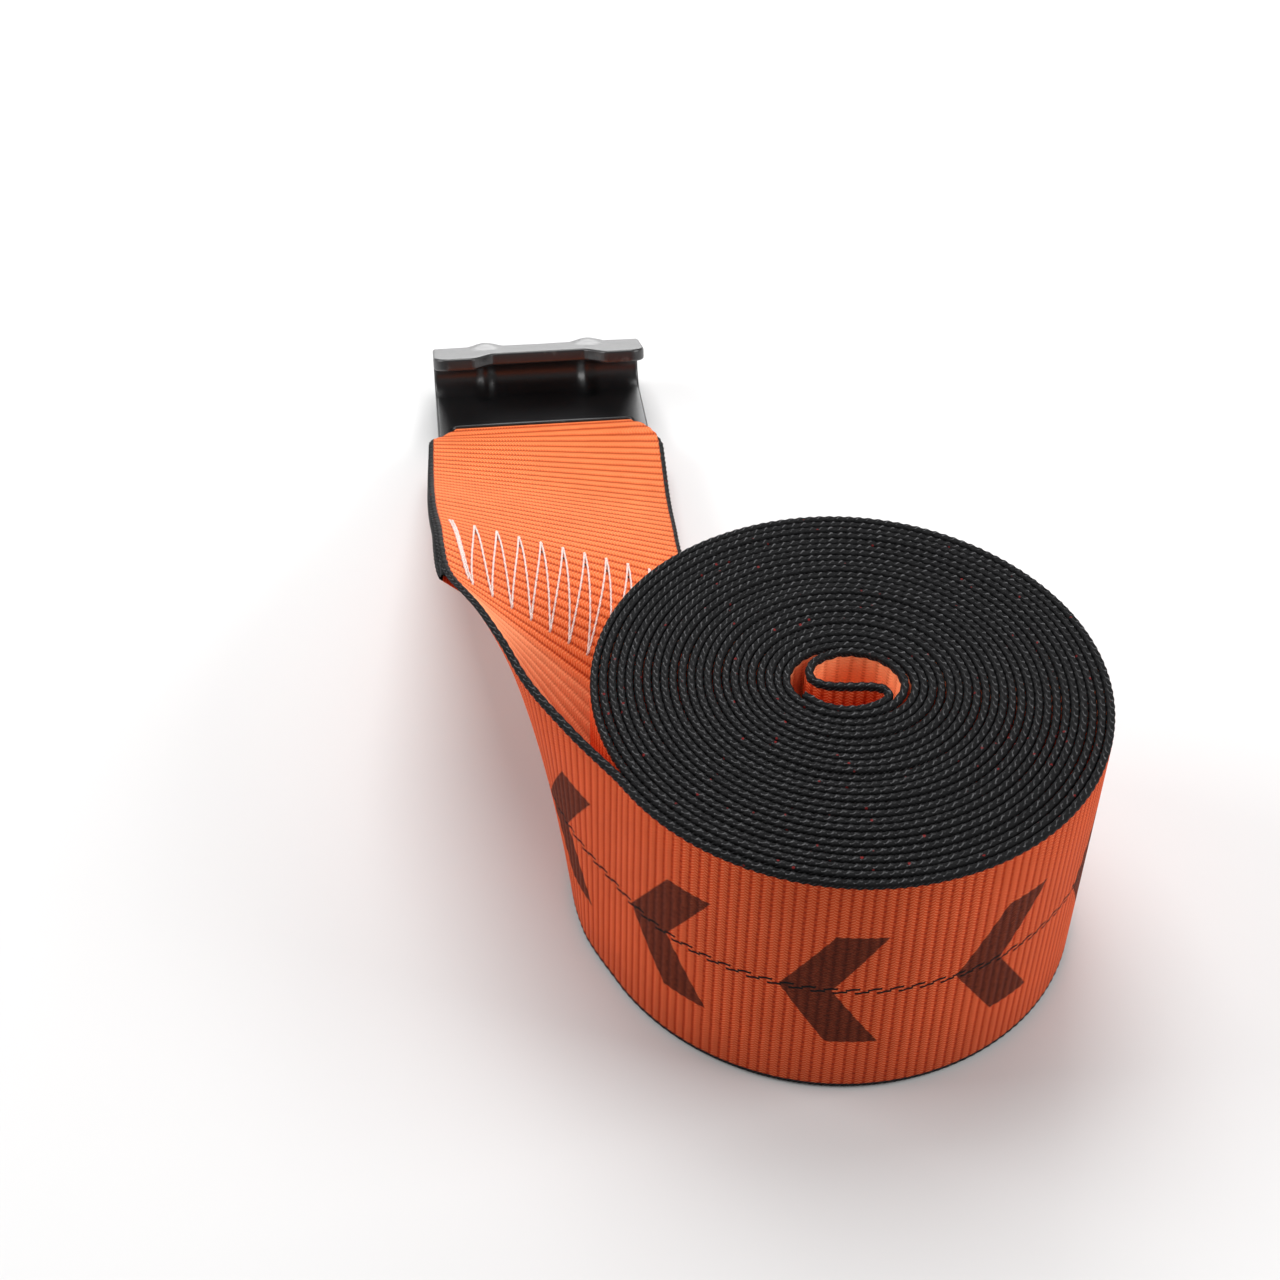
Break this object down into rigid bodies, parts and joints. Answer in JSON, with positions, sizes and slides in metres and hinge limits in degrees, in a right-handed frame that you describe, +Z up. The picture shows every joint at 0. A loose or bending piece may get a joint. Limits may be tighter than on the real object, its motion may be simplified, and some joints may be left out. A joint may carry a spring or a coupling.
{
  "type": "winch strap",
  "caption": "Wide orange webbing strap rolled up on its edge, its tail twisted flat and sewn with a zigzag seam round the slot bar of a black formed flat hook.",
  "frame": {"origin": "centre of the outline on the floor that the roll and the hook rest on", "axes": "+Z up along the roll's axis, +Y from the roll towards the hook, +X to the right when looking along +Y"},
  "size_m": [0.2508, 0.3928, 0.1021],
  "materials": {
    "webbing": "matte",
    "hook_coat": "satin",
    "thread": "satin"
  },
  "bodies": {
    "strap": {"webbing_strap": "webbing", "needle_thread": "thread", "bobbin_thread": "thread"},
    "hook": {"flat_hook": "hook_coat"}
  },
  "joints": [
    {"name": "hook_swing", "type": "hinge", "parent": "strap", "child": "hook", "pos_m": [-0.07252, 0.13558, 0.00822], "axis": [0.9928, 0.1201, 0], "range_deg": [-45, 45]}
  ]
}
